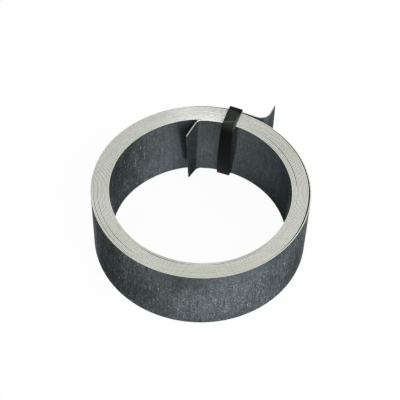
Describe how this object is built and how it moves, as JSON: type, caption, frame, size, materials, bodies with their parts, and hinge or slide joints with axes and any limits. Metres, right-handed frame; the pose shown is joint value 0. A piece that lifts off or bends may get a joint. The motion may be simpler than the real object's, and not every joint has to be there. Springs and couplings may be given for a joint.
{
  "type": "steel strip coil",
  "caption": "Small coil of galvanised steel strip standing on its edges, with an inner end bent into the bore, a flared outer end and one black plastic strap",
  "frame": {"origin": "the middle of the footprint, on the ground", "axes": "+Z is the axis of the coil, up; +Y is the side with the strap and both free ends; +X is to the right of someone who faces +Y"},
  "size_m": [0.1411, 0.1435, 0.0522],
  "materials": {
    "galvanised_steel": "dull mottled zinc on the faces, pale bare metal on the slit edges",
    "black_plastic": "satin black strapping"
  },
  "bodies": {
    "root": {"steel_strip": "galvanised_steel", "strap": "black_plastic"}
  },
  "joints": []
}
